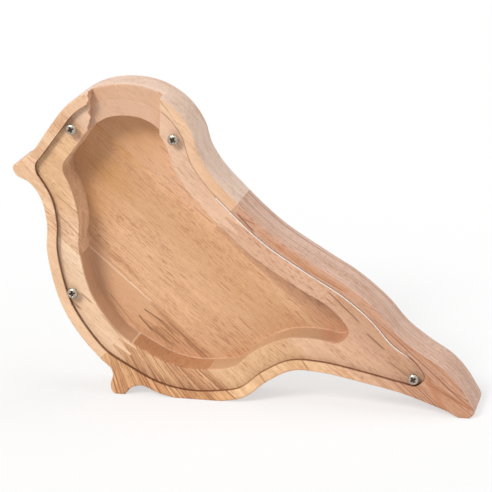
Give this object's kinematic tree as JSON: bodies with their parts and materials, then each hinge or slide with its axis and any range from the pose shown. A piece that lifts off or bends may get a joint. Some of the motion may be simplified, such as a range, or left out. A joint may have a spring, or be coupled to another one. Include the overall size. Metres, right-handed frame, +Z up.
{
  "type": "bird-shaped money box",
  "caption": "Bird-shaped wooden money box: a thick block of glued staves with a milled cavity, a coin slot over the head and a clear screwed-on front panel.",
  "frame": {"origin": "middle of the base, on the surface that the bird stands on", "axes": "+X from beak to tail, +Y from the clear front panel to the back, +Z up"},
  "size_m": [0.24, 0.0298, 0.165],
  "materials": {
    "breast_wood": "sanded, clear oil",
    "foot_wood": "sanded, clear oil",
    "middle_wood": "sanded, clear oil",
    "crown_wood": "sanded, clear oil",
    "tail_wood": "sanded, clear oil",
    "clear_acrylic": "clear cast sheet, polished",
    "screw_steel": "bright nickel plate"
  },
  "bodies": {
    "wooden_block": {"stave_breast": "breast_wood", "stave_foot": "foot_wood", "stave_middle": "middle_wood", "stave_crown": "crown_wood", "stave_tail": "tail_wood"},
    "panel": {"clear_panel": "clear_acrylic"},
    "brow_screw": {"screw_brow": "screw_steel"},
    "nape_screw": {"screw_nape": "screw_steel"},
    "breast_screw": {"screw_breast": "screw_steel"},
    "tail_screw": {"screw_tail": "screw_steel"}
  },
  "joints": [
    {"name": "panel_lift_off", "type": "slide", "parent": "wooden_block", "child": "panel", "axis": [0, -1, 0], "range_m": [0, 0.025]},
    {"name": "brow_screw_out", "type": "slide", "parent": "panel", "child": "brow_screw", "axis": [0, -1, 0], "range_m": [0, 0.014]},
    {"name": "nape_screw_out", "type": "slide", "parent": "panel", "child": "nape_screw", "axis": [0, -1, 0], "range_m": [0, 0.014]},
    {"name": "breast_screw_out", "type": "slide", "parent": "panel", "child": "breast_screw", "axis": [0, -1, 0], "range_m": [0, 0.014]},
    {"name": "tail_screw_out", "type": "slide", "parent": "panel", "child": "tail_screw", "axis": [0, -1, 0], "range_m": [0, 0.014]}
  ]
}
